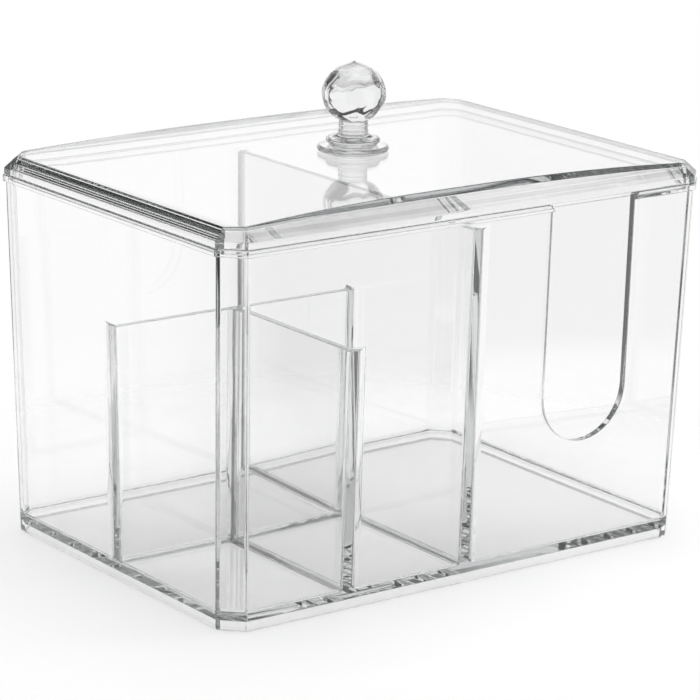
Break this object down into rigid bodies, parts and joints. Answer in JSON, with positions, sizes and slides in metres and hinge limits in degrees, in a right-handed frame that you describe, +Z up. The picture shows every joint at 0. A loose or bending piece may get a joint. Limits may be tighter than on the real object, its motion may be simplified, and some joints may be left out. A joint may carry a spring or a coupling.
{
  "type": "cotton swab storage box",
  "caption": "Clear moulded countertop box with divided compartments, a U-shaped dispensing slot in the front wall and a lift-off lid with a faceted knob.",
  "frame": {"origin": "middle of the foot, on the surface that the box stands on", "axes": "+X to the right along the long front wall, -Y out of the front wall with the slot, +Z up"},
  "size_m": [0.1752, 0.1258, 0.1462],
  "materials": {
    "clear_case": "clear moulded plastic, high gloss, slightly wavy near the edges",
    "clear_lid": "clear moulded plastic, high gloss",
    "crystal_knob": "clear faceted plastic, polished flat faces"
  },
  "bodies": {
    "case": {"compartment_case": "clear_case"},
    "lid": {"lid": "clear_lid", "knob": "crystal_knob"}
  },
  "joints": [
    {"name": "lid_lift", "type": "slide", "parent": "case", "child": "lid", "axis": [0, 0, 1], "range_m": [0, 0.06]}
  ]
}
